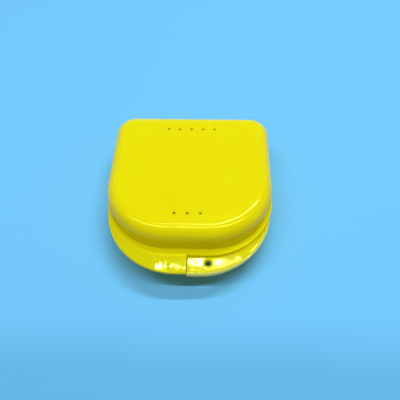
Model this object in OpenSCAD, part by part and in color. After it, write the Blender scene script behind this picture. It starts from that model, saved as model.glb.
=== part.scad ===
// Retainer case: two moulded half shells on a snap-in hinge, shown closed.
// Width runs along X, the flat back faces +Y, the opening tabs face -Y and the bottom rests on Z = 0.

/* [Body] */
// Width across the straight sides, at the foot of the walls
body_w = 80; // [72:1:96]
// Depth from the flat back to the front of the body
body_d = 73.5; // [66:0.5:90]
// Radius of the back corners in plan
back_r = 10.5; // [9:0.5:14]
// Radius of the front corners in plan
front_r = 31; // [26:0.5:34]
// Radius of the rounded edge round the top and the bottom
edge_r = 6.4; // [4:0.2:7]
// Lean of the walls, for release from the mould
draft = 2; // [0.5:0.5:4]
// Thickness of the walls, the top and the bottom
wall = 1.6; // [1.2:0.1:2]

/* [Halves] */
// Height of the lid from its rim to its top
lid_h = 13.3; // [12:0.1:20]
// Height of the base from its rim to its bottom
base_h = 13.5; // [13.5:0.1:24]
// Open seam between the two rims
seam = 0.2; // [0.1:0.05:0.3]

/* [Rim and ledge] */
// Height of each rim
rim_t = 1.8; // [1.4:0.1:2.4]
// How far the rims stand proud of the sides and the back
rim_out = 0.4; // [0.3:0.1:0.8]
// How far the ledge stands out at the front
ledge_out = 3; // [2:0.5:5]
// Rounding of the rim edges
rim_edge_r = 0.5; // [0.3:0.1:0.6]

/* [Opening tabs] */
// How far the tabs stand out in front of the body
brim_out = 11.9; // [10:0.1:16]
// How far the tabs start inside the straight sides
brim_in = 0.8; // [0.5:0.1:1.2]
// Radius of the outer corners of the tabs
brim_r = 34; // [28:0.5:35]
// Step from the ledge down to the lid tab
tab_drop = 0.25; // [0.1:0.05:0.5]
// Gap between the two tabs on the centre line
tab_gap = 0.3; // [0.2:0.1:0.6]
// Width of the raised lip along the base tab
lip_w = 1.9; // [1.4:0.1:2.4]
// Height of that lip above the base tab
lip_h = 1.4; // [0.8:0.1:1.8]
// Slant of the lip's end on the centre line
lip_mitre = 1.4; // [0.6:0.1:2]
// Distance from the front of the tab to the side end of the lip
lip_run = 21; // [16:0.5:24]

/* [Lanyard hole] */
// Diameter of the hole
hole_d = 3; // [2:0.1:4]
// Distance of the hole from the centre line
hole_x = 9.75; // [6:0.25:14]
// Distance of the hole from the front of the tab
hole_in = 5.9; // [5:0.1:6.4]
// Diameter of the raised ring round the hole
boss_d = 5; // [4.8:0.1:5.4]
// Height of the ring
boss_h = 0.3; // [0.2:0.1:0.6]

/* [Vents] */
// Diameter of a vent hole
vent_d = 1.2; // [0.8:0.1:2]
// Spacing of the vent holes in a row
vent_pitch = 5.9; // [4:0.1:7]
// Number of vent holes in the back row
back_vents = 5; // [1:2:7]
// Number of vent holes in the front row
front_vents = 3; // [1:2:5]
// Distance of the back row from the back
back_vent_in = 11; // [10:0.5:20]
// Distance of the front row from the front of the body
front_vent_in = 12.1; // [10:0.1:20]

/* [Locating spigot] */
// Height of the spigot above the base rim
spigot_h = 2; // [1.5:0.1:3]
// Thickness of the spigot
spigot_t = 1; // [0.8:0.1:1.4]
// Clearance from the spigot to the lid wall
spigot_gap = 0.3; // [0.3:0.05:0.5]
// Depth of the spigot's root below the rim
spigot_root = 3; // [2:0.5:4]
// Distance from the back to the ends of the spigot
spigot_end = 16; // [14:0.5:24]
// Length of the catch bead at the front
bead_l = 14; // [8:1:16]
// How far the bead stands out of the spigot
bead_out = 0.15; // [0.1:0.05:0.2]

/* [Hinge] */
// Outer radius of the knuckles and the ears
knuckle_r = 2.6; // [2.4:0.1:3.2]
// Length of a lid knuckle
knuckle_l = 11; // [8:0.5:14]
// Distance of each hinge from the centre line
hinge_x = 17; // [14:0.5:18]
// Thickness of an ear
ear_t = 3; // [2.4:0.1:4]
// Gap from knuckle to ear, at each side
ear_gap = 0.3; // [0.2:0.05:0.5]
// Diameter of a hinge pin
pin_d = 2.4; // [2:0.1:2.8]
// Clearance between pin and ear, on the radius
pin_clear = 0.05; // [0.03:0.01:0.08]
// How far a pin stops short of the outer face of its ear
pin_short = 0.4; // [0.2:0.1:0.8]
// Gap from the rim to the knuckles
hinge_gap = 0.4; // [0.3:0.1:0.8]

/* [Hidden] */
$fn = 96;
edge_steps = 10;
bead_steps = 4;
plastic = [0.93, 0.89, 0.04];
e = 1;
lap = 0.5;

half_w = body_w / 2;
hinge_off = rim_out + hinge_gap + knuckle_r;
y_front = brim_out - (brim_out + body_d + hinge_off + knuckle_r) / 2;
y_back = y_front + body_d;
y_brim = y_front - brim_out;
y_hinge = y_back + hinge_off;
z_lid = base_h + seam;
z_hinge = base_h + seam / 2;
hole_y = y_brim + hole_in;

// A plan is [half width, back, front, back corner radius, front corner radius].
body_plan = [half_w, y_back, y_front, back_r, front_r];
ledge_plan = [half_w + rim_out, y_back + rim_out, y_front - ledge_out, back_r + rim_out, front_r];
brim_plan = [half_w - brim_in, y_front + front_r, y_brim, edge_r, brim_r];

// The plan moved inwards by d, with the same corner centres
function inset(plan, d) = [plan[0] - d, plan[1] - d, plan[2] + d, plan[3] - d, plan[4] - d];

// Points along an arc
function arc(c, r, a0, a1, n) =
    [for (i = [0:n]) c + r * [cos(a0 + (a1 - a0) * i / n), sin(a0 + (a1 - a0) * i / n)]];

// Wall section of height h: x runs outwards from the plan, y upwards; the wall leans in by the draft
// and turns into the flat top with radius r
function dome_section(h, r) =
    let (c = [-(r + (h - r) * sin(draft)) / cos(draft), h - r])
    concat([[0, 0]], arc(c, r, draft, 90, edge_steps));

// Section of a flat plate from z0 to z1 with rounded edges
function plate_section(z0, z1, r_low, r_high) = concat(
    r_low > 0 ? arc([-r_low, z0 + r_low], r_low, -90, 0, bead_steps) : [[0, z0]],
    r_high > 0 ? arc([-r_high, z1 - r_high], r_high, 0, 90, bead_steps) : [[0, z1]]);

// A section on a grid of a thousandth of a millimetre, so that corners and straights meet exactly
function on_grid(points) = [for (p = points) [round(p.x * 1000) / 1000, round(p.y * 1000) / 1000]];

// Solid with a rounded D plan whose outer face follows a section all the way round
module swept_solid(plan, outer_section) {
    section = on_grid(outer_section);
    half = plan[0];
    back = plan[1];
    front = plan[2];
    rb = plan[3];
    rf = plan[4];
    z0 = section[0].y;
    z1 = section[len(section) - 1].y;
    module corner(x, y, r, start)
        translate([x, y, 0])
            rotate_extrude(angle = 90, start = start)
                polygon(concat([[0, z0]], [for (p = section) [r + p.x, p.y]], [[0, z1]]));
    module strip(length)
        linear_extrude(length)
            polygon(concat([[-rb, z0]], section, [[-rb, z1]]));
    translate([0, 0, z0])
        linear_extrude(z1 - z0)
            polygon([
                [half - rb + lap, back - rb + lap], [half - rb + lap, front + rf - lap],
                [half - rf + lap, front + rf - lap], [half - rf + lap, front + rb - lap],
                [rf - half - lap, front + rb - lap], [rf - half - lap, front + rf - lap],
                [rb - half - lap, front + rf - lap], [rb - half - lap, back - rb + lap]]);
    corner(half - rb, back - rb, rb, 0);
    corner(rb - half, back - rb, rb, 90);
    corner(rf - half, front + rf, rf, 180);
    corner(half - rf, front + rf, rf, 270);
    translate([rb - half, back, 0]) rotate([90, 0, 90]) strip(2 * (half - rb));
    translate([half - rf, front, 0]) rotate([90, 0, -90]) strip(2 * (half - rf));
    side_length = 0.6 * (back - rb - front - rf);
    for (side = [0, 1])
        mirror([side, 0, 0]) {
            translate([half, back - rb, 0]) rotate([90, 0, 0]) strip(side_length);
            translate([half, front + rf, 0]) mirror([0, 1, 0]) rotate([90, 0, 0]) strip(side_length);
        }
}

// Outside of one half shell with its rim and ledge, rim down
module half_outside(h) {
    swept_solid(body_plan, dome_section(h, edge_r));
    swept_solid(ledge_plan, plate_section(0, rim_t, 0, rim_edge_r));
}

// Hollow of one half shell, reaching below the rim
module half_hollow(h) {
    plan = inset(body_plan, wall);
    swept_solid(plan, dome_section(h - wall, edge_r - wall));
    swept_solid(plan, [[0, -e], [0, e / 4]]);
}

// One row of vent holes through a flat wall whose outer face is at height h
module vent_row(count, y, h) {
    for (i = [0:count - 1])
        translate([(i - (count - 1) / 2) * vent_pitch, y, h - wall - e])
            cylinder(d = vent_d, h = wall + 2 * e);
}

// Both rows of vent holes
module vents(h) {
    vent_row(back_vents, y_back - back_vent_in, h);
    vent_row(front_vents, y_front + front_vent_in, h);
}

// One half of the brim in front of the body: side -1 is the left, 1 the right
module brim_half(section, side) {
    intersection() {
        swept_solid(brim_plan, section);
        translate([side > 0 ? tab_gap / 2 : -body_w, y_brim - e, -body_w / 2])
            cube([body_w - (side > 0 ? 0 : tab_gap / 2), y_front + front_r - y_brim, body_w]);
    }
}

// Cylinder along X about the hinge line, from x0 to x1
module hinge_cylinder(r, x0, x1) {
    translate([x0, y_hinge, 0])
        rotate([0, 90, 0])
            cylinder(r = r, h = x1 - x0);
}

// Round eye on the hinge line with its web to the rim; z0 and z1 bound the web
module hinge_eye(x0, x1, z0, z1) {
    hinge_cylinder(knuckle_r, x0, x1);
    translate([x0, y_back - wall / 2, z0])
        cube([x1 - x0, hinge_off + wall / 2, z1 - z0]);
}

// Raised lip along the outer edge of the base tab, ending clear of the lid ledge
module base_lip() {
    clear = 0.4;
    difference() {
        swept_solid(brim_plan, plate_section(-rim_t / 2, lip_h, 0, rim_edge_r));
        swept_solid(inset(brim_plan, lip_w), [[0, -rim_t], [0, lip_h + e]]);
        translate([-body_w, y_brim + lip_run, -rim_t])
            cube([2 * body_w, body_d, 2 * rim_t + lip_h]);
        translate([0, 0, -rim_t])
            linear_extrude(2 * rim_t + lip_h)
                polygon([
                    [tab_gap / 2 - lip_mitre / lip_w, y_brim - 1],
                    [tab_gap / 2 + lip_mitre * (1 + 1 / lip_w), y_brim + lip_w + 1],
                    [tab_gap / 2 + lip_mitre * (1 + 1 / lip_w), y_brim + lip_run + e],
                    [-body_w, y_brim + lip_run + e], [-body_w, y_brim - 1]]);
        swept_solid(inset(ledge_plan, -clear), [[0, 0], [0, lip_h + e]]);
    }
}

// Low wall inside the base rim that the lid drops over, with its catch bead
module base_spigot() {
    outer = inset(body_plan, wall + spigot_gap);
    difference() {
        union() {
            swept_solid(outer, [[0, -rim_t], [0, spigot_h]]);
            swept_solid(inset(body_plan, wall / 2), [[0, -spigot_root], [0, -seam]]);
        }
        swept_solid(inset(outer, spigot_t), [[spigot_t, -spigot_root - e], [0, -rim_t], [0, spigot_h + e]]);
        translate([-body_w, y_back - spigot_end, -spigot_root - e])
            cube([2 * body_w, body_d, spigot_root + spigot_h + 2 * e]);
    }
    translate([-bead_l / 2, outer[2] - bead_out + spigot_t / 2, spigot_h / 2])
        rotate([0, 90, 0])
            cylinder(r = spigot_t / 2, h = bead_l);
}

// Base, rim at z = 0 and bottom downwards
module base() {
    color(plastic)
        translate([0, 0, base_h])
            difference() {
                union() {
                    difference() {
                        union() {
                            mirror([0, 0, 1]) half_outside(base_h);
                            brim_half(plate_section(-rim_t, 0, rim_edge_r, 0), 1);
                        }
                        mirror([0, 0, 1]) half_hollow(base_h);
                    }
                    base_lip();
                    base_spigot();
                    translate([hole_x, hole_y, -rim_t / 2]) cylinder(d = boss_d, h = rim_t / 2 + boss_h);
                    for (side = [-1, 1], end = [-1, 1])
                        translate([side * hinge_x + end * (knuckle_l / 2 + ear_gap + ear_t / 2), 0, seam / 2])
                            hinge_eye(-ear_t / 2, ear_t / 2, -rim_t - seam / 2, -seam / 2);
                }
                mirror([0, 0, 1]) vents(base_h);
                translate([hole_x, hole_y, -rim_t - e]) cylinder(d = hole_d, h = rim_t + 2 * e + boss_h);
                for (side = [-1, 1], end = [-1, 1])
                    translate([side * hinge_x + end * (knuckle_l / 2 + ear_gap + ear_t / 2), 0, seam / 2])
                        hinge_cylinder(pin_d / 2 + pin_clear, -ear_t, ear_t);
            }
}

// Lid, rim at z = 0 and top upwards
module lid() {
    pin_end = knuckle_l / 2 + ear_gap + ear_t - pin_short;
    color(plastic)
        translate([0, 0, z_lid]) {
            difference() {
                union() {
                    half_outside(lid_h);
                    brim_half(plate_section(0, rim_t - tab_drop, rim_edge_r, rim_edge_r), -1);
                }
                half_hollow(lid_h);
                vents(lid_h);
            }
            for (side = [-1, 1])
                translate([side * hinge_x, 0, -seam / 2]) {
                    hinge_eye(-knuckle_l / 2, knuckle_l / 2, seam / 2, rim_t);
                    hinge_cylinder(pin_d / 2, -pin_end, pin_end);
                }
        }
}

base();
lid();
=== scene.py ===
"""Looks of the retainer case: two moulded half shells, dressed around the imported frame."""

import logging
import math
from contextlib import contextmanager
from dataclasses import dataclass
from enum import Enum
from typing import Any, Iterator, Optional, Sequence

import bmesh
import bpy
from mathutils import Euler, Matrix


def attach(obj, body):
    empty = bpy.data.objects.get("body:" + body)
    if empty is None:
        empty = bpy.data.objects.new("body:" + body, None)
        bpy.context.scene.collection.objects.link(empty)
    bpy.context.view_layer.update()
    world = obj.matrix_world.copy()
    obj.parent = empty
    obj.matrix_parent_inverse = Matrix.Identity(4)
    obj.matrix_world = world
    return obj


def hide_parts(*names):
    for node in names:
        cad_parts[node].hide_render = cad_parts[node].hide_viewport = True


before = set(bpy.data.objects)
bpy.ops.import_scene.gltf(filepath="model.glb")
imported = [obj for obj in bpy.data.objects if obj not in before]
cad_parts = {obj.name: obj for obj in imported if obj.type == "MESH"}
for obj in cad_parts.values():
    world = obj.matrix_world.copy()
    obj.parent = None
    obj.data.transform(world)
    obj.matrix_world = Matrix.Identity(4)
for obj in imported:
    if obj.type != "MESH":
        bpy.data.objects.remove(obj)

LOG = logging.getLogger("retainer_case")
MM = 0.001
WELD = 0.002 * MM
TOUCH = 0.01 * MM
SOFT_ANGLE = math.radians(50)
SHARP_ANGLE = math.radians(24)
LYING = Matrix.Rotation(math.radians(90), 4, "Y")
Inputs = dict[Any, Any]
Corner = tuple[Any, Any, Any]
Pair = tuple[float, float]
Triple = tuple[float, float, float]
Piece = bpy.types.Object
Plastic = bpy.types.Material
Socket = bpy.types.NodeSocket


class Side(Enum):
    """The half of the brim that a tab takes, seen from the front."""

    LEFT = -1
    RIGHT = 1


class Cut(Enum):
    """How one mesh changes another."""

    JOIN = "UNION"
    REMOVE = "DIFFERENCE"


@dataclass(frozen=True)
class CaseSizes:
    """Sizes that both halves share, in millimetres, as the solids have them."""

    body_w: float = 80.0
    body_d: float = 73.5
    back_r: float = 10.5
    front_r: float = 31.0
    edge_r: float = 6.4
    draft: float = 2.0
    wall: float = 1.6
    lid_h: float = 13.3
    base_h: float = 13.5
    seam: float = 0.2
    rim_t: float = 1.8
    rim_out: float = 0.4
    ledge_out: float = 3.0
    brim_out: float = 11.9
    brim_in: float = 0.8
    brim_r: float = 34.0
    tab_drop: float = 0.08
    tab_gap: float = 0.12
    hinge_gap: float = 0.4
    knuckle_r: float = 2.6
    sliver: float = 0.012

    @property
    def half_w(self) -> float:
        """Half of the width of the body."""
        return self.body_w / 2

    @property
    def hinge_off(self) -> float:
        """Distance of the hinge line from the back."""
        return self.rim_out + self.hinge_gap + self.knuckle_r

    @property
    def y_front(self) -> float:
        """Front of the body."""
        return self.brim_out - (self.brim_out + self.body_d + self.hinge_off + self.knuckle_r) / 2

    @property
    def y_back(self) -> float:
        """Flat back of the body."""
        return self.y_front + self.body_d

    @property
    def y_brim(self) -> float:
        """Front of the tabs."""
        return self.y_front - self.brim_out

    @property
    def y_hinge(self) -> float:
        """Hinge line, front to back."""
        return self.y_back + self.hinge_off

    @property
    def z_lid(self) -> float:
        """Height of the lid's rim."""
        return self.base_h + self.seam

    @property
    def z_hinge(self) -> float:
        """Height of the hinge line."""
        return self.base_h + self.seam / 2


class NodeGraph:
    """A node tree that is put together step by step."""

    def __init__(self, tree: bpy.types.NodeTree) -> None:
        """Takes the tree to work on."""
        self.tree = tree

    def add(self, kind: str, inputs: Optional[Inputs] = None, output: Any = 0, **settings: Any) -> Socket:
        """Adds a node.

        Args:
            kind: the node's type name.
            inputs: values or sockets for its inputs, by name or number.
            output: the output that is wanted, by name or number.
            settings: the node's own options.

        Returns:
            The wanted output.
        """
        node = self.tree.nodes.new(kind)
        for key, value in settings.items():
            setattr(node, key, value)
        for key, value in (inputs or {}).items():
            self.feed(node.inputs[key], value)
        return node.outputs[output]

    def feed(self, socket: Socket, value: Any) -> None:
        """Fills an input.

        Args:
            socket: the input.
            value: a socket or a list of sockets to link, or a plain value.
        """
        for part in value if isinstance(value, list) else [value]:
            if isinstance(part, Socket):
                self.tree.links.new(part, socket)
            else:
                socket.default_value = part

    def math(self, operation: str, first: Any, second: Any = 0.0, clamped: bool = False) -> Socket:
        """Adds one step of arithmetic, which may be kept between 0 and 1."""
        return self.add("ShaderNodeMath", {0: first, 1: second}, operation=operation, use_clamp=clamped)

    def total(self, *terms: Any) -> Socket:
        """Adds up two or more numbers.

        Args:
            terms: the numbers or sockets.

        Returns:
            Their sum.
        """
        result = terms[0]
        for term in terms[1:]:
            result = self.math("ADD", result, term)
        return result

    def less(self, first: Any, second: Any) -> Socket:
        """First number less the second."""
        return self.math("SUBTRACT", first, second)

    def times(self, first: Any, second: Any) -> Socket:
        """Product of two numbers."""
        return self.math("MULTIPLY", first, second)

    def vector(self, operation: str, first: Any, second: Any = (0.0, 0.0, 0.0), output: Any = 0) -> Socket:
        """Adds one step of vector arithmetic."""
        return self.add("ShaderNodeVectorMath", {0: first, 1: second}, output, operation=operation)

    def scaled(self, vector: Any, factor: Any) -> Socket:
        """Vector times a number."""
        return self.add("ShaderNodeVectorMath", {0: vector, "Scale": factor}, operation="SCALE")

    def point(self, x: Any = 0.0, y: Any = 0.0, z: Any = 0.0) -> Socket:
        """Puts three numbers together as a vector."""
        return self.add("ShaderNodeCombineXYZ", {"X": x, "Y": y, "Z": z})

    def axis(self, vector: Socket, name: str) -> Socket:
        """Takes one number out of a vector."""
        return self.add("ShaderNodeSeparateXYZ", {"Vector": vector}, name)


class SurfaceGraph(NodeGraph):
    """The nodes of a finish, or of the light in the room."""

    @staticmethod
    def opaque(colour: Any) -> Any:
        """Adds full cover to a plain colour; a socket stays as it is."""
        return colour if isinstance(colour, Socket) else (*colour, 1.0)

    def place(self, kind: str) -> Socket:
        """Reads the place of each point, or the way that a ray takes into the room."""
        return self.add("ShaderNodeTexCoord", None, kind)

    def mixed(self, first: Any, second: Any, share: Socket) -> Socket:
        """Mixes two colours, plain or linked; the share says how far the second takes over."""
        wanted = {"A": self.opaque(first), "B": self.opaque(second), "Factor": share}
        return self.add("ShaderNodeMix", wanted, "Result", data_type="RGBA")

    def spread(self, value: Socket, start: float, stop: float, low: Any = 0.0, high: Any = 1.0) -> Socket:
        """Changes softly from low to high while a value goes from start to stop."""
        names = ("Value", "From Min", "From Max", "To Min", "To Max")
        return self.add("ShaderNodeMapRange", dict(zip(names, (value, start, stop, low, high))))

    def ramp(self, value: Socket, *stops: tuple[float, Triple]) -> Socket:
        """Turns a value into a colour.

        Args:
            value: the value.
            stops: two pairs of a place between 0 and 1 and the colour there.

        Returns:
            The colour.
        """
        node = self.tree.nodes.new("ShaderNodeValToRGB")
        for element, (place, colour) in zip(node.color_ramp.elements, stops):
            element.position = place
            element.color = self.opaque(colour)
        self.feed(node.inputs["Fac"], value)
        return node.outputs["Color"]

    def noise(self, place: Socket, scale: Triple) -> Socket:
        """Adds a soft noise, with so many features to the metre each way."""
        where = self.add("ShaderNodeMapping", {"Vector": place, "Scale": scale})
        return self.add("ShaderNodeTexNoise", {"Vector": where, "Scale": 1.0, "Detail": 1.0}, "Fac")

    def seen(self) -> Socket:
        """Tells the rays that show the backdrop, straight, mirrored or through, from the rest.

        Returns:
            1 for such a ray, and 0 for the others.
        """
        rays = self.tree.nodes.new("ShaderNodeLightPath").outputs
        shown = rays["Is Camera Ray"]
        for name in ("Is Glossy Ray", "Is Transmission Ray"):
            shown = self.math("ADD", shown, rays[name], clamped=True)
        return shown

    def finish(self, node: str, values: Inputs) -> None:
        """Fills the inputs of a node that the tree has from the start.

        Args:
            node: the node's name.
            values: values or sockets for its inputs, by name.
        """
        for name, value in values.items():
            self.feed(self.tree.nodes[node].inputs[name], value)


class ShapeGraph(NodeGraph):
    """A geometry node tree with named sizes, which makes one mesh."""

    def __init__(self, name: str) -> None:
        """Starts an empty tree with one mesh output.

        Args:
            name: the tree's name.
        """
        super().__init__(bpy.data.node_groups.new(name, "GeometryNodeTree"))
        self.enter = self.tree.nodes.new("NodeGroupInput")
        self.leave = self.tree.nodes.new("NodeGroupOutput")
        self.tree.interface.new_socket("Mesh", in_out="OUTPUT", socket_type="NodeSocketGeometry")
        self.values: dict[str, Any] = {}

    def take(self, name: str, value: Any, kind: str = "NodeSocketFloat") -> Socket:
        """Adds a named input and keeps its value for the modifier.

        Args:
            name: the input's name.
            value: what the modifier sets there.
            kind: the socket type.

        Returns:
            The socket to link from.
        """
        item = self.tree.interface.new_socket(name, in_out="INPUT", socket_type=kind)
        self.values[item.identifier] = value
        return self.enter.outputs[name]

    def mm(self, name: str, value: float) -> Socket:
        """Adds a named size, given in millimetres."""
        return self.take(name, value * MM)

    def here(self, name: str) -> Socket:
        """Reads one coordinate of each point."""
        return self.axis(self.add("GeometryNodeInputPosition"), name)

    def at_start(self) -> Socket:
        """Tells the first point from the rest."""
        return self.math("LESS_THAN", self.add("GeometryNodeInputIndex"), 0.5)

    def choose(self, kind: str, options: Sequence[Any], index: Optional[Socket] = None) -> Socket:
        """Picks an option by the point's number.

        Args:
            kind: the data type of the options.
            options: one value or socket for each number.
            index: the number, or None for the point's own.

        Returns:
            The chosen value as a field.
        """
        node = self.tree.nodes.new("GeometryNodeIndexSwitch")
        node.data_type = kind
        while len(node.index_switch_items) < len(options):
            node.index_switch_items.new()
        self.feed(node.inputs["Index"], index or self.add("GeometryNodeInputIndex"))
        for number, option in enumerate(options):
            self.feed(node.inputs[str(number)], option)
        return node.outputs[0]

    def rounded_line(self, corners: Sequence[Corner], steps: Any) -> Socket:
        """Draws an open line through corners and rounds them.

        Args:
            corners: X, Y and the rounding of each.
            steps: how many points a rounding gets, as a number or a field.

        Returns:
            The curve.
        """
        where = self.choose("VECTOR", [self.point(x, y) for x, y, _ in corners])
        dots = self.add("GeometryNodePoints", {"Count": len(corners), "Position": where})
        line = self.add("GeometryNodePointsToCurves", {"Points": dots})
        return self.rounded(line, self.choose("FLOAT", [radius for _, _, radius in corners]), steps)

    def rounded(self, curve: Socket, radius: Any, steps: Any) -> Socket:
        """Rounds the corners of a curve."""
        wanted = {"Curve": curve, "Radius": radius, "Count": steps}
        return self.add("GeometryNodeFilletCurve", wanted, mode="POLY")

    def closed(self, line: Socket) -> Socket:
        """Joins the ends of a line."""
        return self.add("GeometryNodeSetSplineCyclic", {"Geometry": line, "Cyclic": True})

    def level(self, line: Socket) -> Socket:
        """Keeps the normals of a line level."""
        return self.add("GeometryNodeSetCurveNormal", {"Curve": line}, mode="Z_UP")

    def outward(self, distance: Any) -> Socket:
        """A step along the normal of each point."""
        return self.scaled(self.add("GeometryNodeInputNormal"), distance)

    def put(self, geometry: Socket, spot: Socket) -> Socket:
        """Puts each point in a new place."""
        return self.add("GeometryNodeSetPosition", {"Geometry": geometry, "Position": spot})

    def joined(self, *parts: Socket) -> Socket:
        """Takes several geometries together."""
        return self.add("GeometryNodeJoinGeometry", {"Geometry": list(parts)})

    def repeated(self, points: Socket, shape: Socket) -> Socket:
        """Puts a copy of a shape on every point."""
        copies = self.add("GeometryNodeInstanceOnPoints", {"Points": points, "Instance": shape})
        return self.add("GeometryNodeRealizeInstances", {"Geometry": copies})

    def keep(self, geometry: Socket, name: str, kind: str, value: Any) -> Socket:
        """Stores a value on each point of a geometry."""
        wanted = {"Geometry": geometry, "Name": name, "Value": value}
        return self.add("GeometryNodeStoreNamedAttribute", wanted, data_type=kind, domain="POINT")

    def kept(self, name: str, kind: str) -> Socket:
        """Reads a value that was stored on the points."""
        return self.add("GeometryNodeInputNamedAttribute", {"Name": name}, data_type=kind)

    def sweep(self, path: Socket, section: Socket, capped: bool) -> Socket:
        """Carries a section along a level path; the section's X points outwards and its Y down."""
        wanted = {"Curve": self.level(path), "Profile Curve": section, "Fill Caps": capped}
        return self.add("GeometryNodeCurveToMesh", wanted)

    def shifted(self, mesh: Socket, label: str) -> Socket:
        """Moves each point by its kept shift, as far as its kept share says."""
        whole = self.kept(label + "_shift", "FLOAT_VECTOR")
        wanted = {"Geometry": mesh, "Offset": self.scaled(whole, self.kept(label + "_share", "FLOAT"))}
        return self.add("GeometryNodeSetPosition", wanted)

    def build(self, name: str, mesh: Socket, material: Plastic) -> Piece:
        """Closes the tree and turns what it makes into a plain mesh object.

        Args:
            name: the object's name.
            mesh: the last geometry of the tree.
            material: the finish of the piece.

        Returns:
            The object, with no modifier left on it.
        """
        finish = self.take("Finish", material, "NodeSocketMaterial")
        whole = self.add("GeometryNodeRealizeInstances", {"Geometry": mesh})
        smooth = self.add("GeometryNodeSetShadeSmooth", {"Geometry": whole})
        dressed_mesh = self.add("GeometryNodeSetMaterial", {"Geometry": smooth, "Material": finish})
        self.feed(self.leave.inputs[0], dressed_mesh)
        holder = new_object(name, bpy.data.meshes.new(name + "_holder"))
        modifier = holder.modifiers.new("Moulding", "NODES")
        modifier.node_group = self.tree
        for identifier, value in self.values.items():
            modifier[identifier] = value
        made = baked(holder)
        bpy.data.node_groups.remove(self.tree)
        return made


@dataclass(frozen=True)
class MouldedPlastic:
    """Glossy yellow polypropylene: a little translucent, with a faintly wavy moulded skin.

    Lengths are in millimetres. An arc is the centre across and along, and the radius, of the brim's
    right corner, or of the ledge's. The brim in front of the ledge is painted darker, as painted
    shade, and its outer edge gets a painted tone that stands for light there: a pale painted glow
    unless another tone is given.
    """

    name: str
    colour: Triple = (0.945, 0.825, 0.002)
    deep: Triple = (0.925, 0.805, 0.002)
    cloud_scale: Triple = (45.0, 45.0, 45.0)
    cloud_stops: Pair = (0.3, 0.7)
    # Painted shade: the colour of the brim in front of the ledge, darker than the body.
    thin: Triple = (0.69, 0.675, 0.002)
    ledge_arc: Triple = (9.4, -5.8, 31.0)
    lip_arc: Triple = (5.2, -11.7, 31.5)
    # Painted tone on the brim's outer edge, which stands for light there: by default a pale painted glow.
    edge: Triple = (0.76, 1.0, 0.4)
    edge_arc: Triple = (5.2, -11.7, 33.3)
    arc_fade: float = 0.8
    side_fade: Pair = (3.0, 8.0)
    roughness: float = 0.035
    box_roughness: float = 0.095
    haze: Pair = (0.7, 1.3)
    wave_scale: Triple = (420.0, 260.0, 260.0)
    wave_height: float = 0.03
    seam_height: float = 13.6
    brim_reach: float = 2.0
    brim_fade: float = 1.0
    body_share: float = 0.01
    shine: float = 0.4
    shine_colour: Triple = (1.0, 0.97, 0.15)
    refraction: float = 1.49
    glow: float = 1.0
    glow_reach: float = 2.2
    glow_spread: Triple = (1.0, 0.8, 0.1)

    def material(self) -> Plastic:
        """Builds the node material.

        Returns:
            The material, ready for a mesh.
        """
        made = bpy.data.materials.new(self.name)
        made.use_nodes = True
        graph = SurfaceGraph(made.node_tree)
        place = graph.place("Object")
        cloud = graph.noise(place, self.cloud_scale)
        tone = graph.ramp(cloud, *zip(self.cloud_stops, (self.deep, self.colour)))
        # Painted shade: the brim in front of the ledge is made darker in colour.
        tone = graph.mixed(tone, self.thin, self.beyond(graph, place, self.ledge_arc))
        # Painted tone along the brim's outer edge, which stands for light there: by default a pale painted
        # glow.
        tone = graph.mixed(tone, self.edge, self.beyond(graph, place, self.edge_arc))
        apart = graph.math("ABSOLUTE", graph.less(graph.axis(place, "Z"), self.seam_height * MM))
        bounds = (self.brim_reach * MM, (self.brim_reach + self.brim_fade) * MM)
        brim = graph.spread(apart, *bounds, 1.0, self.body_share)
        calm = graph.math("SUBTRACT", brim, self.beyond(graph, place, self.lip_arc), clamped=True)
        wave = graph.noise(place, self.wave_scale)
        skin = {"Strength": calm, "Distance": self.wave_height * MM, "Height": wave}
        gloss = graph.spread(brim, self.body_share, 1.0, self.box_roughness, self.roughness)
        looks = {
            "Base Color": tone,
            "Normal": graph.add("ShaderNodeBump", skin),
            "Roughness": graph.times(gloss, graph.spread(cloud, 0.0, 1.0, *self.haze)),
            "Specular IOR Level": self.shine,
            "Specular Tint": graph.opaque(self.shine_colour),
            "IOR": self.refraction,
            "Subsurface Weight": self.glow,
            "Subsurface Radius": self.glow_spread,
            "Subsurface Scale": self.glow_reach * MM,
        }
        graph.finish("Principled BSDF", looks)
        return made

    def beyond(self, graph: SurfaceGraph, place: Socket, arc: Triple) -> Socket:
        """Tells what lies outside two front corner arcs, which is 1, from the inside, which is 0.

        Args:
            graph: the finish in work.
            place: the point's place.
            arc: the right corner.

        Returns:
            The share, which changes softly over the arcs and fades out towards the sides.
        """
        x, y, radius = (v * MM for v in arc)
        flat = graph.vector("MULTIPLY", place, (1.0, -1.0, 0.0))
        ahead = graph.axis(flat, "Y")
        spot = graph.point(graph.math("ABSOLUTE", graph.axis(flat, "X")), ahead)
        away = graph.vector("SUBTRACT", spot, (x, -y, 0.0))
        reach = graph.vector("LENGTH", graph.vector("MAXIMUM", away), output="Value")
        front = graph.spread(ahead, *(v * MM - y for v in self.side_fade))
        return graph.spread(reach, radius, radius + self.arc_fade * MM, 0.0, front)


@contextmanager
def opened(mesh: bpy.types.Mesh) -> Iterator[bmesh.types.BMesh]:
    """Opens a mesh for changes, and writes them back at the end.

    Args:
        mesh: the mesh.

    Yields:
        Its open form.
    """
    work = bmesh.new()
    work.from_mesh(mesh)
    yield work
    work.to_mesh(mesh)
    work.free()


def new_object(name: str, data: bpy.types.ID) -> Piece:
    """Links a new object into the scene.

    Args:
        name: its name.
        data: its mesh, camera or lamp.

    Returns:
        The object.
    """
    made = bpy.data.objects.new(name, data)
    bpy.context.scene.collection.objects.link(made)
    return made


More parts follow.
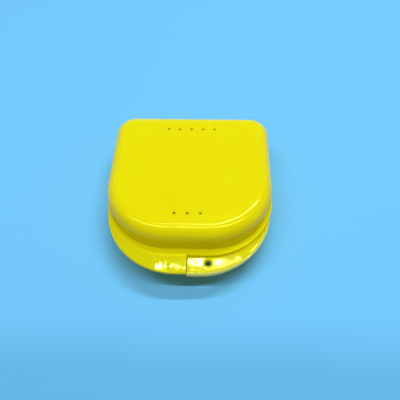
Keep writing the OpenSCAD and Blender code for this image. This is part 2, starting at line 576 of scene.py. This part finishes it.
def baked(source: Piece) -> Piece:
    """Turns an object with modifiers into a plain, closed and outward facing mesh.

    Args:
        source: the object, which is removed.

    Returns:
        The plain object, under the same name.
    """
    name = source.name
    source.name = name + "_old"
    graph = bpy.context.evaluated_depsgraph_get()
    graph.update()
    mesh = bpy.data.meshes.new_from_object(source.evaluated_get(graph))
    bpy.data.objects.remove(source)
    with opened(mesh) as work:
        bmesh.ops.remove_doubles(work, verts=work.verts, dist=WELD)
        bmesh.ops.dissolve_degenerate(work, edges=work.edges, dist=WELD)
        bmesh.ops.recalc_face_normals(work, faces=work.faces)
    for label in [a.name for a in mesh.attributes if a.name.endswith(("_shift", "_share"))]:
        mesh.attributes.remove(mesh.attributes[label])
    mesh.name = name
    return new_object(name, mesh)


def combined(body: Piece, tool: Piece, cut: Cut) -> Piece:
    """Joins a piece to a body, or removes it from the body.

    Args:
        body: the object that is kept.
        tool: the object that is used up.
        cut: whether the tool is joined or removed.

    Returns:
        The changed body.
    """
    modifier = body.modifiers.new("Cut", "BOOLEAN")
    modifier.operation = cut.value
    modifier.solver = "EXACT"
    modifier.object = tool
    made = baked(body)
    bpy.data.objects.remove(tool)
    return made


def softened(piece: Piece, width: float, steps: int = 4) -> Piece:
    """Rounds the sharp edges of a piece.

    Args:
        piece: the object to change.
        width: width of the rounding in millimetres.
        steps: number of segments in it.

    Returns:
        The rounded object.
    """
    modifier = piece.modifiers.new("Soft", "BEVEL")
    modifier.width = width * MM
    modifier.segments = steps
    modifier.limit_method = "ANGLE"
    modifier.angle_limit = SOFT_ANGLE
    return baked(piece)


def soften_end(piece: Piece, x: float, width: float, steps: int = 4) -> None:
    """Rounds the edges of the flat end that lies at one place across the case.

    Args:
        piece: the object to change.
        x: where its end lies, in millimetres.
        width: width of the rounding in millimetres.
        steps: number of segments in it.
    """
    with opened(piece.data) as work:
        ends = [e for e in work.edges if all(abs(v.co.x - x * MM) < TOUCH for v in e.verts)]
        bmesh.ops.bevel(work, geom=ends, offset=width * MM, segments=steps, profile=0.5, affect="EDGES")


def turned(name: str, outline: Sequence[Pair], steps: int) -> Piece:
    """Turns an outline about the vertical axis into a closed solid.

    Args:
        name: the object's name.
        outline: (radius, height) pairs in millimetres, first and last on the axis.
        steps: number of sides.

    Returns:
        The object, centred on the vertical axis.
    """
    mesh = bpy.data.meshes.new(name)
    with opened(mesh) as work:
        spots = [work.verts.new((r * MM, 0, z * MM)) for r, z in outline]
        edges = [work.edges.new(pair) for pair in zip(spots, spots[1:])]
        turn = {"cent": (0, 0, 0), "axis": (0, 0, 1), "angle": math.tau, "use_merge": True}
        bmesh.ops.spin(work, geom=spots + edges, steps=steps, **turn)
        bmesh.ops.remove_doubles(work, verts=work.verts, dist=WELD)
        bmesh.ops.recalc_face_normals(work, faces=work.faces)
    return new_object(name, mesh)


def placed(piece: Piece, matrix: Matrix) -> Piece:
    """Moves a mesh within its object, so that the object stays at the origin.

    Args:
        piece: the object.
        matrix: the move, which may mirror.

    Returns:
        The same object.
    """
    piece.data.transform(matrix)
    if matrix.determinant() < 0:
        piece.data.flip_normals()
    return piece


def moved(x: float, y: float, z: float) -> Matrix:
    """Shift by millimetres."""
    return Matrix.Translation((x * MM, y * MM, z * MM))


def lying_rod(name: str, spot: Triple, radius: float, length: float, edge: float, steps: int) -> Piece:
    """Makes a round bar with rounded ends that lies across the case.

    Args:
        name: the object's name.
        spot: its middle.
        radius: radius of the bar.
        length: its length.
        edge: rounding of its ends.
        steps: number of sides.

    Returns:
        The closed mesh object.
    """
    half = length / 2
    bends = [math.radians(a) for a in (0, 22.5, 45, 67.5, 90)]
    top = [(radius - edge + edge * math.cos(a), half - edge + edge * math.sin(a)) for a in bends]
    low = [(r, -z) for r, z in reversed(top)]
    bar = turned(name, [(0, -half), *low, *top, (0, half)], steps)
    return placed(bar, moved(*spot) @ LYING)


def brim_line(graph: ShapeGraph, sizes: CaseSizes, tail: float, steps: int) -> Socket:
    """Draws the outer edge of the brim's right half, from the centre line to the side.

    Args:
        graph: the tree in work.
        sizes: the shared sizes.
        tail: how far the line runs on behind the corner, in millimetres.
        steps: how many points the corner gets.

    Returns:
        The curve.
    """
    start = graph.mm("Half of the gap", sizes.tab_gap / 2)
    side = graph.mm("Side", sizes.half_w - sizes.brim_in)
    front = graph.mm("Tab front", sizes.y_brim)
    corner = graph.mm("Tab corner radius", sizes.brim_r)
    end = graph.mm("Tab end", sizes.y_brim + sizes.brim_r + tail)
    return graph.rounded_line([(start, front, 0.0), (side, front, corner), (side, end, 0.0)], steps)


def dressed(piece: Piece, finish: Plastic, node: str) -> Piece:
    """Gives a piece its finish and ties it to the frame.

    Args:
        piece: the object.
        finish: its material.
        node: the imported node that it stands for, which is also its body.

    Returns:
        The same object.
    """
    mesh = piece.data
    mesh.materials.clear()
    mesh.materials.append(finish)
    mesh.polygons.foreach_set("material_index", [0] * len(mesh.polygons))
    mesh.shade_smooth()
    mesh.set_sharp_from_angle(angle=SHARP_ANGLE)
    weighted = piece.modifiers.new("Even shading", "WEIGHTED_NORMAL")
    weighted.keep_sharp = True
    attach(piece, node)
    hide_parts(node)
    LOG.info("%s: %d faces", piece.name, len(mesh.polygons))
    return piece


@dataclass
class HalfShell:
    """One moulded half: the wall swept round its plan, its rim and ledge, and the pierced panel."""

    sizes: CaseSizes
    height: float
    rim_r: float = 0.5
    foot_r: float = 0.25
    seam_r: float = 0.2
    panel_in: float = 7.6
    vent_d: float = 1.2
    vent_pitch: float = 5.9
    back_vents: int = 5
    front_vents: int = 3
    back_vent_in: float = 11.0
    front_vent_in: float = 12.1
    vent_steps: int = 32
    corner_steps: int = 40
    section_steps: tuple[int, ...] = (1, 14, 5, 6, 5, 5, 12, 1)

    def path(self, graph: ShapeGraph) -> Socket:
        """Draws the rounded plan and keeps how far the ledge stands out at each point.

        Args:
            graph: the tree in work.

        Returns:
            The closed curve.
        """
        s = self.sizes
        half = graph.mm("Half width", s.half_w)
        back = graph.mm("Back", s.y_back)
        front = graph.mm("Front", s.y_front)
        back_r = graph.mm("Back corner radius", s.back_r)
        front_r = graph.mm("Front corner radius", s.front_r)
        rim_out = graph.mm("Rim stand-out", s.rim_out)
        ledge_out = graph.mm("Ledge depth", s.ledge_out)
        wanted = {"Width": graph.times(half, 2.0), "Height": graph.less(back, front)}
        box = graph.add("GeometryNodeCurvePrimitiveQuadrilateral", wanted)
        middle = graph.point(0.0, graph.times(graph.total(back, front), 0.5))
        plan = graph.add("GeometryNodeTransform", {"Geometry": box, "Translation": middle})
        radius = graph.choose("FLOAT", [back_r, back_r, front_r, front_r])
        plan = graph.level(graph.rounded(plan, radius, self.corner_steps))
        side = graph.math("SIGN", graph.here("X"))
        at_front = graph.math("LESS_THAN", graph.here("Y"), graph.total(front, front_r, TOUCH))
        ahead = graph.point(graph.times(side, rim_out), graph.less(0.0, ledge_out))
        shift = graph.choose("VECTOR", [graph.outward(rim_out), ahead], at_front)
        return graph.keep(plan, "ledge_shift", "FLOAT_VECTOR", shift)

    def section(self, graph: ShapeGraph, height: Socket, wall: Socket) -> Socket:
        """Draws the wall section from the outer panel edge, round the rim, to the inner one.

        Args:
            graph: the tree in work.
            height: height of the half.
            wall: thickness of the wall.

        Returns:
            The open curve, with the ledge pushed back to the wall until it is shifted out.
        """
        s = self.sizes
        lean = graph.take("Lean of the wall", math.tan(math.radians(s.draft)))
        rim = graph.mm("Rim height", s.rim_t)
        ledge = graph.mm("Section ledge", s.ledge_out)
        edge = graph.mm("Edge radius", s.edge_r)
        panel = graph.mm("Panel inset", self.panel_in)
        inner = graph.less(height, wall)
        top, low, floor = (graph.less(0.0, z) for z in (height, rim, inner))
        away = graph.less(0.0, panel)
        wall_x = graph.less(0.0, wall)
        rim_r = graph.mm("Rim rounding", self.rim_r)
        seam_r = graph.mm("Seam rounding", self.seam_r)
        foot_r = graph.mm("Foot fillet", self.foot_r)
        corners = [
            (away, top, 0.0),
            (graph.times(lean, top), top, edge),
            (graph.times(lean, low), low, foot_r),
            (ledge, low, rim_r),
            (ledge, 0.0, seam_r),
            (wall_x, 0.0, seam_r),
            (graph.total(wall_x, graph.times(lean, floor)), floor, graph.less(edge, wall)),
            (away, floor, 0.0),
        ]
        line = graph.rounded_line(corners, graph.choose("INT", self.section_steps))
        across = graph.here("X")
        share = graph.math("DIVIDE", graph.math("MAXIMUM", across, 0.0), ledge)
        line = graph.keep(line, "ledge_share", "FLOAT", share)
        return graph.put(line, graph.point(graph.math("MINIMUM", across, 0.0), graph.here("Y")))

    def vent_row(self, graph: ShapeGraph, label: str, count: int, y: float) -> Socket:
        """Lays out the centres of one row of vent holes.

        Args:
            graph: the tree in work.
            label: the row's name.
            count: number of holes.
            y: where the row lies, in millimetres.

        Returns:
            The centres as points.
        """
        pitch = graph.mm(label + " vent pitch", self.vent_pitch)
        number = graph.take(label + " vents", count, "NodeSocketInt")
        line = graph.mm(label + " vent row", y)
        reach = graph.times(graph.less(number, 1.0), 0.5)
        start = graph.point(graph.less(0.0, graph.times(reach, pitch)), line)
        wanted = {"Count": number, "Start Location": start, "Offset": graph.point(pitch)}
        return graph.add("GeometryNodeMeshLine", wanted)

    def panel(self, graph: ShapeGraph, wall_mesh: Socket, height: Socket, wall: Socket) -> list[Socket]:
        """Fills the middle with a panel that the vent holes pierce.

        Args:
            graph: the tree in work.
            wall_mesh: the swept wall, open in the middle.
            height: height of the half.
            wall: thickness of the panel.

        Returns:
            The outer face, the inner face and the walls of the vent holes.
        """
        s = self.sizes
        radius = graph.mm("Vent radius", self.vent_d / 2)
        centres = graph.joined(
            self.vent_row(graph, "Back", self.back_vents, s.y_back - self.back_vent_in),
            self.vent_row(graph, "Front", self.front_vents, s.y_front + self.front_vent_in),
        )
        wanted = {"Resolution": self.vent_steps, "Radius": radius}
        rings = graph.repeated(centres, graph.add("GeometryNodeCurvePrimitiveCircle", wanted))
        middle = graph.less(height, graph.times(wall, 0.5))
        outer = graph.math("GREATER_THAN", graph.here("Z"), middle)
        one_face = graph.math("LESS_THAN", graph.add("GeometryNodeInputMeshEdgeNeighbors"), 1.5)
        wanted = {"Mesh": wall_mesh, "Selection": graph.times(outer, one_face)}
        border = graph.add("GeometryNodeMeshToCurve", wanted)
        sheet = graph.add("GeometryNodeFillCurve", {"Curve": graph.joined(border, rings)}, mode="NGONS")
        x, y = graph.here("X"), graph.here("Y")
        levels = (height, graph.less(height, wall))
        faces = [graph.put(sheet, graph.point(x, y, level)) for level in levels]
        wanted = {"Vertices": self.vent_steps, "Radius": radius, "Depth": wall}
        tube = graph.add("GeometryNodeMeshCylinder", wanted, fill_type="NONE")
        wanted = {"Geometry": centres, "Translation": graph.point(0.0, 0.0, middle)}
        return [*faces, graph.repeated(graph.add("GeometryNodeTransform", wanted), tube)]

    def build(self, name: str, material: Plastic) -> Piece:
        """Makes the half with its rim at height zero and its panel above.

        Args:
            name: the object's name.
            material: the finish.

        Returns:
            The closed mesh object.
        """
        graph = ShapeGraph("Moulded half shell")
        height = graph.mm("Height", self.height)
        wall = graph.mm("Wall", self.sizes.wall)
        ring = graph.sweep(self.path(graph), self.section(graph, height, wall), False)
        ring = graph.shifted(ring, "ledge")
        shell = graph.joined(ring, *self.panel(graph, ring, height, wall))
        shell = graph.add("GeometryNodeMergeByDistance", {"Geometry": shell, "Distance": WELD})
        return graph.build(name, shell, material)


@dataclass
class FrontTab:
    """One half of the brim in front of the body, as a plate that ends inside the wall."""

    sizes: CaseSizes
    z_low: float
    z_high: float
    low_r: float
    high_r: float
    tilt: float = 0.0
    overlap: float = 1.4
    near: float = 0.55
    far: float = 6.0
    tail: float = 4.0
    end_r: float = 0.18
    edge_steps: int = 40
    round_steps: int = 6

    def path(self, graph: ShapeGraph) -> Socket:
        """Draws the outer edge of the right tab and keeps the way from there into the wall.

        Args:
            graph: the tree in work.

        Returns:
            The open curve.
        """
        s = self.sizes
        line = graph.level(brim_line(graph, s, self.tail, self.edge_steps))
        inner_r = s.front_r - self.overlap
        inner_x = s.half_w - self.overlap - inner_r
        inner_y = s.y_front + self.overlap + inner_r
        to_x = graph.mm("Way in, across", inner_x - (s.half_w - s.brim_in - s.brim_r))
        to_y = graph.mm("Way in, along", inner_y - (s.y_brim + s.brim_r))
        bend = graph.outward(graph.mm("Change of radius", inner_r - s.brim_r))
        way = graph.vector("ADD", graph.point(to_x, to_y), bend)
        straight = graph.point(0.0, graph.mm("Way in at the gap", s.brim_out + self.overlap))
        shift = graph.choose("VECTOR", [way, straight], graph.at_start())
        return graph.keep(line, "wall_shift", "FLOAT_VECTOR", shift)

    def section(self, graph: ShapeGraph) -> Socket:
        """Draws the plate's section; points far from the edge go all the way into the wall.

        Args:
            graph: the tree in work.

        Returns:
            The closed curve, with its far points brought to the edge until they are shifted.
        """
        low = graph.mm("Underside", -self.z_low)
        high = graph.mm("Top", -self.z_high)
        far = graph.mm("Far side", -self.far)
        near = graph.mm("Near side", -self.near)
        top_r = graph.mm("Top rounding", self.high_r)
        low_r = graph.mm("Low rounding", self.low_r)
        corners = [
            (far, high, 0.0),
            (near, high, 0.0),
            (0.0, high, top_r),
            (0.0, low, low_r),
            (near, low, 0.0),
            (far, low, 0.0),
        ]
        line = graph.closed(graph.rounded_line(corners, self.round_steps))
        across = graph.here("X")
        share = graph.math("LESS_THAN", across, -self.far / 2 * MM)
        line = graph.keep(line, "wall_share", "FLOAT", share)
        stay = graph.less(1.0, graph.kept("wall_share", "FLOAT"))
        return graph.put(line, graph.point(graph.times(across, stay), graph.here("Y")))

    def tilted(self, graph: ShapeGraph, plate: Socket) -> Socket:
        """Tilts the top face a little, so that it rises towards the front.

        Args:
            graph: the tree in work.
            plate: the swept plate.

        Returns:
            The changed plate.
        """
        s = self.sizes
        middle = graph.mm("Mid height", (self.z_low + self.z_high) / 2)
        above = graph.math("GREATER_THAN", graph.here("Z"), middle)
        ahead = graph.less(graph.mm("Ledge front", s.y_front - s.ledge_out), graph.here("Y"))
        lift = graph.times(graph.take("Tilt", self.tilt), ahead)
        wanted = {"Geometry": plate, "Selection": above, "Offset": graph.point(0.0, 0.0, lift)}
        return graph.add("GeometryNodeSetPosition", wanted)

    def build(self, name: str, side: Side, material: Plastic) -> Piece:
        """Makes the plate on one side.

        Args:
            name: the object's name.
            side: the half of the brim.
            material: the finish.

        Returns:
            The closed mesh object.
        """
        graph = ShapeGraph("Tab plate")
        plate = graph.sweep(self.path(graph), self.section(graph), True)
        plate = self.tilted(graph, graph.shifted(plate, "wall"))
        made = graph.build(name, plate, material)
        soften_end(made, self.sizes.tab_gap / 2, self.end_r)
        return placed(made, Matrix.Scale(side.value, 4, (1, 0, 0)))


@dataclass
class TabLip:
    """Raised lip along the outer edge of the base tab, with a slanted end at the centre line."""

    sizes: CaseSizes
    width: float = 1.9
    rise: float = 1.4
    fall: float = 0.38
    dip: float = 0.06
    mitre: float = 1.4
    run: float = 21.0
    root: float = 0.9
    tail: float = 2.0
    inner_r: float = 0.12
    crest_r: float = 3.4
    outer_r: float = 0.35
    end_r: float = 0.2
    edge_steps: int = 40
    round_steps: int = 6

    def path(self, graph: ShapeGraph) -> Socket:
        """Draws the outer edge as far as the lip runs, and keeps the slant of its first end.

        Args:
            graph: the tree in work.

        Returns:
            The open curve.
        """
        line = brim_line(graph, self.sizes, self.tail, self.edge_steps)
        stop = graph.mm("End of the lip", self.sizes.y_brim + self.run)
        wanted = {"Geometry": line, "Selection": graph.math("GREATER_THAN", graph.here("Y"), stop)}
        line = graph.add("GeometryNodeDeleteGeometry", wanted, domain="POINT")
        slant = graph.point(graph.times(graph.at_start(), graph.mm("Slant", self.mitre)))
        return graph.keep(line, "slant_shift", "FLOAT_VECTOR", slant)

    def section(self, graph: ShapeGraph) -> Socket:
        """Draws the lip's section, which is highest in the middle.

        Args:
            graph: the tree in work.

        Returns:
            The closed curve.
        """
        away = graph.less(0.0, graph.mm("Lip width", self.width))
        rise = graph.mm("Lip rise", -self.rise)
        root = graph.mm("Lip root", self.root)
        inner = graph.mm("Inner rounding", self.inner_r)
        crest = graph.mm("Crest rounding", self.crest_r)
        outer = graph.mm("Outer rounding", self.outer_r)
        corners = [
            (away, root, 0.0),
            (away, graph.total(rise, graph.mm("Lip dip", self.dip)), inner),
            (graph.times(away, 0.5), rise, crest),
            (0.0, graph.total(rise, graph.mm("Lip fall", self.fall)), outer),
            (0.0, root, 0.0),
        ]
        line = graph.closed(graph.rounded_line(corners, self.round_steps))
        return graph.keep(line, "slant_share", "FLOAT", graph.math("DIVIDE", graph.here("X"), away))

    def build(self, name: str, material: Plastic) -> Piece:
        """Makes the lip above the tab's floor at height zero.

        Args:
            name: the object's name.
            material: the finish.

        Returns:
            The closed mesh object.
        """
        graph = ShapeGraph("Tab lip")
        lip = graph.shifted(graph.sweep(self.path(graph), self.section(graph), True), "slant")
        return softened(graph.build(name, lip, material), self.end_r)


@dataclass
class Spigot:
    """Low wall inside the base rim that the lid drops over, with its catch bead."""

    sizes: CaseSizes
    rise: float = 2.0
    thick: float = 1.0
    gap: float = 0.3
    root: float = 3.0
    root_share: float = 0.45
    end_in: float = 16.0
    top_r: float = 0.3
    end_r: float = 0.2
    corner_steps: int = 40
    round_steps: int = 4
    bead_l: float = 14.0
    bead_out: float = 0.15
    bead_r: float = 0.4
    bead_steps: int = 24

    @property
    def inset(self) -> float:
        """Distance of the spigot's outer face from the outside of the body."""
        return self.sizes.wall + self.gap

    def path(self, graph: ShapeGraph) -> Socket:
        """Draws the outer face of the spigot, which leaves the back open.

        Args:
            graph: the tree in work.

        Returns:
            The open curve.
        """
        s = self.sizes
        side = graph.mm("Spigot side", s.half_w - self.inset)
        front = graph.mm("Spigot front", s.y_front + self.inset)
        end = graph.mm("Spigot end", s.y_back - self.end_in)
        corner = graph.mm("Spigot corner radius", s.front_r - self.inset)
        other = graph.less(0.0, side)
        corners = [(other, end, 0.0), (other, front, corner), (side, front, corner), (side, end, 0.0)]
        return graph.rounded_line(corners, self.corner_steps)

    def section(self, graph: ShapeGraph) -> Socket:
        """Draws the spigot's section, with a root that reaches into the wall of the base.

        Args:
            graph: the tree in work.

        Returns:
            The closed curve.
        """
        s = self.sizes
        rise = graph.mm("Spigot rise", -self.rise)
        thick = graph.mm("Spigot thickness", -self.thick)
        rim = graph.mm("Rim height", s.rim_t)
        root = graph.mm("Root", self.root)
        tucked = graph.mm("Tuck into the wall", s.wall / 2 + self.gap)
        low = graph.mm("Rim clearance", s.seam)
        top_r = graph.mm("Top rounding", self.top_r)
        corners = [
            (0.0, rise, top_r),
            (thick, rise, top_r),
            (thick, rim, 0.0),
            (graph.times(thick, self.root_share), root, 0.0),
            (tucked, root, 0.0),
            (tucked, low, 0.0),
            (0.0, low, 0.0),
        ]
        return graph.closed(graph.rounded_line(corners, self.round_steps))

    def build(self, name: str, material: Plastic) -> Piece:
        """Makes the spigot above a rim at height zero.

        Args:
            name: the object's name.
            material: the finish.

        Returns:
            The closed mesh object.
        """
        graph = ShapeGraph("Locating spigot")
        swept = graph.sweep(self.path(graph), self.section(graph), True)
        wall = softened(graph.build(name, swept, material), self.end_r)
        radius = self.thick / 2
        spot = (0, self.sizes.y_front + self.inset - self.bead_out + radius, self.rise / 2)
        bead = lying_rod(name + "_bead", spot, radius, self.bead_l, self.bead_r, self.bead_steps)
        bead.data.materials.append(material)
        return combined(wall, bead, Cut.JOIN)


@dataclass
class SnapHinge:
    """Two sets of moulded knuckles, pins and ears on the hinge line at the back."""

    sizes: CaseSizes
    knuckle_l: float = 11.0
    hinge_x: float = 17.0
    ear_t: float = 3.0
    ear_gap: float = 0.3
    pin_d: float = 2.4
    pin_clear: float = 0.05
    pin_short: float = 0.4
    edge: float = 0.3
    pin_edge: float = 0.25
    bore_edge: float = 0.2
    eye_steps: int = 64
    pin_steps: int = 48

    def spot(self, x: float) -> Triple:
        """A place on the hinge line."""
        return (x, self.sizes.y_hinge, self.sizes.z_hinge)

    def eye(self, name: str, x: float, length: float, z_low: float, z_high: float) -> Piece:
        """Makes one round eye with its web to the rim.

        Args:
            name: the object's name.
            x: centre of the eye across the case.
            length: its length along the hinge line.
            z_low: lower face of the web.
            z_high: upper face of the web.

        Returns:
            The closed mesh object.
        """
        s = self.sizes
        radius = s.knuckle_r - s.sliver
        roll = lying_rod(name, self.spot(x), radius, length, self.edge, self.eye_steps)
        mesh = bpy.data.meshes.new(name + "_web")
        with opened(mesh) as work:
            bmesh.ops.create_cube(work, size=1.0)
        start = s.y_back - s.wall / 2
        span = (length - 2 * self.edge, s.y_hinge - start, z_high - z_low)
        size = Matrix.Diagonal((*(v * MM for v in span), 1.0))
        centre = moved(x, (start + s.y_hinge) / 2, (z_low + z_high) / 2)
        web = placed(new_object(name + "_web", mesh), centre @ size)
        return combined(roll, web, Cut.JOIN)

    def add_to_lid(self, lid: Piece) -> Piece:
        """Joins the knuckles and their pins to the lid.

        Args:
            lid: the lid in its closed place.

        Returns:
            The changed lid.
        """
        s = self.sizes
        low, high = s.z_lid + s.sliver, s.z_lid + s.rim_t - s.seam / 2
        pin_l = 2 * (self.knuckle_l / 2 + self.ear_gap + self.ear_t - self.pin_short)
        for x in (-self.hinge_x, self.hinge_x):
            knuckle = self.eye("knuckle", x, self.knuckle_l, low, high)
            pin = lying_rod("pin", self.spot(x), self.pin_d / 2, pin_l, self.pin_edge, self.pin_steps)
            lid = combined(lid, combined(knuckle, pin, Cut.JOIN), Cut.JOIN)
        return lid

    def add_to_base(self, base: Piece) -> Piece:
        """Joins the ears to the base and bores them.

        Args:
            base: the base in its place.

        Returns:
            The changed base.
        """
        s = self.sizes
        low, high = s.base_h - s.rim_t + s.sliver, s.base_h - s.sliver
        off = self.knuckle_l / 2 + self.ear_gap + self.ear_t / 2
        bore_r, bore_l = self.pin_d / 2 + self.pin_clear, 3 * self.ear_t
        for x in (-self.hinge_x, self.hinge_x):
            for end in (x - off, x + off):
                ear = self.eye("ear", end, self.ear_t, low, high)
                bore = lying_rod("bore", self.spot(end), bore_r, bore_l, self.bore_edge, self.pin_steps)
                base = combined(base, combined(ear, bore, Cut.REMOVE), Cut.JOIN)
        return base


@dataclass
class LanyardHole:
    """Round hole in the base tab with a low raised ring."""

    sizes: CaseSizes
    hole_d: float = 3.0
    hole_x: float = 9.75
    hole_in: float = 5.9
    boss_d: float = 5.0
    boss_h: float = 0.3
    dome: float = 0.05
    root: float = 0.9
    flare: float = 0.15
    flare_mid: Pair = (0.3, 0.5)
    beyond: float = 1.0
    bends: tuple[float, ...] = (0.0, 0.4, 0.8, 1.2, math.pi / 2)
    steps: int = 64

    def cut_into(self, base: Piece) -> Piece:
        """Joins the ring to the base tab and pierces it.

        Args:
            base: the base in its place.

        Returns:
            The changed base.
        """
        s = self.sizes
        place = moved(self.hole_x, s.y_brim + self.hole_in, s.base_h)
        outer, bore, flare, more = self.boss_d / 2, self.hole_d / 2, self.flare, self.beyond
        top, under, low = self.boss_h, -s.rim_t, self.boss_h - self.dome
        mid_out, mid_down = self.flare_mid
        soft = [(outer - low + low * math.sin(a), low * math.cos(a)) for a in self.bends]
        shape = [(0, top), (bore, top), *soft, (outer, -self.root), (0, -self.root)]
        ring = placed(turned("ring", shape, self.steps), place)
        shape = [
            (0, top + more),
            (bore + flare + more, top + more),
            (bore + flare, top),
            (bore + mid_out * flare, top - mid_down * flare),
            (bore, top - flare),
            (bore, under + flare),
            (bore + flare, under),
            (bore + flare + more, under - more),
            (0, under - more),
        ]
        base = combined(base, ring, Cut.JOIN)
        return combined(base, placed(turned("hole", shape, self.steps), place), Cut.REMOVE)


@dataclass
class Lid:
    """Upper half with the left tab and the hinge knuckles."""

    sizes: CaseSizes
    finish: MouldedPlastic
    hinge: SnapHinge
    tab_low_r: float = 0.4
    tab_high_r: float = 0.5
    tab_tilt: float = 0.0075

    def build(self) -> Piece:
        """Makes the lid in its closed place.

        Returns:
            The finished piece.
        """
        s = self.sizes
        plastic = self.finish.material()
        shell = HalfShell(s, s.lid_h).build("lid_moulding", plastic)
        top = s.rim_t - s.tab_drop
        plate = FrontTab(s, s.sliver, top, self.tab_low_r, self.tab_high_r, self.tab_tilt)
        tab = plate.build("lid_tab", Side.LEFT, plastic)
        lid = placed(combined(shell, tab, Cut.JOIN), moved(0, 0, s.z_lid))
        lid = self.hinge.add_to_lid(lid)
        return dressed(lid, plastic, "lid")


@dataclass
class Base:
    """Lower half with the right tab, its lip and hole, the spigot and the hinge ears."""

    sizes: CaseSizes
    finish: MouldedPlastic
    hinge: SnapHinge
    tab_low_r: float = 0.5
    tab_high_r: float = 0.2

    def build(self) -> Piece:
        """Makes the base in its place.

        Returns:
            The finished piece.
        """
        s = self.sizes
        plastic = self.finish.material()
        shell = HalfShell(s, s.base_h).build("base_moulding", plastic)
        shell = placed(shell, Matrix.Scale(-1, 4, (0, 0, 1)))
        plate = FrontTab(s, s.sliver - s.rim_t, -s.sliver, self.tab_low_r, self.tab_high_r)
        tab = plate.build("base_tab", Side.RIGHT, plastic)
        base = combined(shell, tab, Cut.JOIN)
        base = combined(base, TabLip(s).build("base_lip", plastic), Cut.JOIN)
        base = combined(base, Spigot(s).build("base_spigot", plastic), Cut.JOIN)
        base = placed(base, moved(0, 0, s.base_h))
        base = LanyardHole(s).cut_into(base)
        base = self.hinge.add_to_base(base)
        return dressed(base, plastic, "base")


@dataclass
class Studio:
    """Camera, lamps, floor and surroundings.

    The camera's place and the fade of the floor's painted shade are in millimetres, and its turn in
    degrees. The floor's size and the lamps are in metres, and a lamp's strength is in watts a metre.
    """

    lens: float = 36.0
    sensor: float = 36.0
    clip: Pair = (0.01, 20.0)
    camera_spot: Triple = (11.0585, -113.4631, 180.3909)
    camera_turn: Triple = (32.81295, 0.98215, 1.66719)
    floor_half: float = 3.0
    floor_cells: int = 8
    floor_colour: Triple = (0.173, 0.595, 0.985)
    # Painted shade: the floor is made deeper in colour towards the front.
    near_colour: Triple = (0.134, 0.49, 0.83)
    near_fade: Pair = (-60.0, -84.0)
    bounce_colour: Triple = (0.55, 0.43, 0.22)
    floor_roughness: float = 0.9
    floor_shine: float = 0.2
    backdrop_colour: Triple = (0.14, 0.42, 0.66)
    backdrop_fade: Pair = (0.7, 0.4)
    low_light: Triple = (0.08, 0.06, 0.03)
    high_light: Triple = (0.27, 0.3, 0.28)
    lamp_colour: Triple = (1.05, 1.02, 1.06)
    lamp_height: float = 1.2
    lamp_depth: float = 0.012
    overhead_y: float = -0.05
    overhead_power: float = 4.8
    overhead_tube: Pair = (-0.9, 0.7)
    behind_y: float = 0.488
    behind_power: float = 9.0
    behind_tubes: tuple[Pair, ...] = (
        (-0.19, -0.16),
        (-0.124, -0.106),
        (-0.07, -0.054),
        (-0.042, 0.048),
        (0.064, 0.075),
        (0.093, 0.7),
    )

    def camera(self) -> None:
        """Sets the camera at the photograph's viewing angle."""
        data = bpy.data.cameras.new("camera")
        data.sensor_width = self.sensor
        data.lens = self.lens
        data.clip_start, data.clip_end = self.clip
        camera = new_object("camera", data)
        turn = Euler([math.radians(a) for a in self.camera_turn])
        camera.matrix_world = moved(*self.camera_spot) @ turn.to_matrix().to_4x4()
        bpy.context.scene.camera = camera

    def lamp(self, name: str, tube: Pair, y: float, power: float) -> None:
        """Hangs a long tube lamp across the case, facing it.

        Args:
            name: the lamp's name.
            tube: its left and right end.
            y: how far behind the case it hangs.
            power: its strength.
        """
        left, right = tube
        data = bpy.data.lights.new(name, "AREA")
        data.shape = "RECTANGLE"
        data.size, data.size_y = right - left, self.lamp_depth
        data.energy = power * (right - left)
        data.color = self.lamp_colour
        lamp = new_object(name, data)
        lamp.location = ((left + right) / 2, y, self.lamp_height)
        lamp.rotation_euler = (math.atan2(-y, self.lamp_height), 0.0, 0.0)

    def floor(self) -> None:
        """Lays a plain pale floor, with painted shade that makes it a little deeper in colour in front."""
        mesh = bpy.data.meshes.new("floor")
        cells = self.floor_cells
        with opened(mesh) as work:
            bmesh.ops.create_grid(work, x_segments=cells, y_segments=cells, size=self.floor_half)
        made = bpy.data.materials.new("floor_paper")
        made.use_nodes = True
        graph = SurfaceGraph(made.node_tree)
        along = graph.axis(graph.place("Object"), "Y")
        # Painted shade: the floor's colour darkens towards the front.
        near = graph.spread(along, *(v * MM for v in self.near_fade))
        paper_with_painted_shade = graph.mixed(self.floor_colour, self.near_colour, near)
        looks = {
            "Base Color": graph.mixed(self.bounce_colour, paper_with_painted_shade, graph.seen()),
            "Roughness": self.floor_roughness,
            "Specular IOR Level": self.floor_shine,
        }
        graph.finish("Principled BSDF", looks)
        mesh.materials.append(made)
        new_object("floor", mesh)

    def room(self) -> None:
        """Fills the room with a soft light that is dim near the floor, before a plain backdrop."""
        world = bpy.data.worlds.new("room")
        world.use_nodes = True
        graph = SurfaceGraph(world.node_tree)
        up = graph.axis(graph.place("Generated"), "Z")
        light = graph.ramp(up, (0.0, self.low_light), (1.0, self.high_light))
        share = graph.spread(up, *self.backdrop_fade, 0.0, graph.seen())
        graph.finish("Background", {"Color": graph.mixed(light, self.backdrop_colour, share)})
        bpy.context.scene.world = world

    def build(self) -> None:
        """Sets up everything around the case."""
        bpy.context.scene.view_settings.view_transform = "Standard"
        self.room()
        self.camera()
        self.floor()
        self.lamp("overhead", self.overhead_tube, self.overhead_y, self.overhead_power)
        for tube in self.behind_tubes:
            self.lamp("behind", tube, self.behind_y, self.behind_power)


def main() -> None:
    """Builds the case and its surroundings."""
    logging.basicConfig(level=logging.INFO, format="%(message)s")
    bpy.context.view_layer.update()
    sizes = CaseSizes()
    hinge = SnapHinge(sizes)
    Base(sizes, MouldedPlastic("base_yellow"), hinge).build()
    # On the lid the brim's outer edge gets a darker, greener painted tone instead: painted shade.
    Lid(sizes, MouldedPlastic("lid_yellow", edge=(0.66, 0.74, 0.01)), hinge).build()
    Studio().build()


if __name__ == "__main__":
    main()
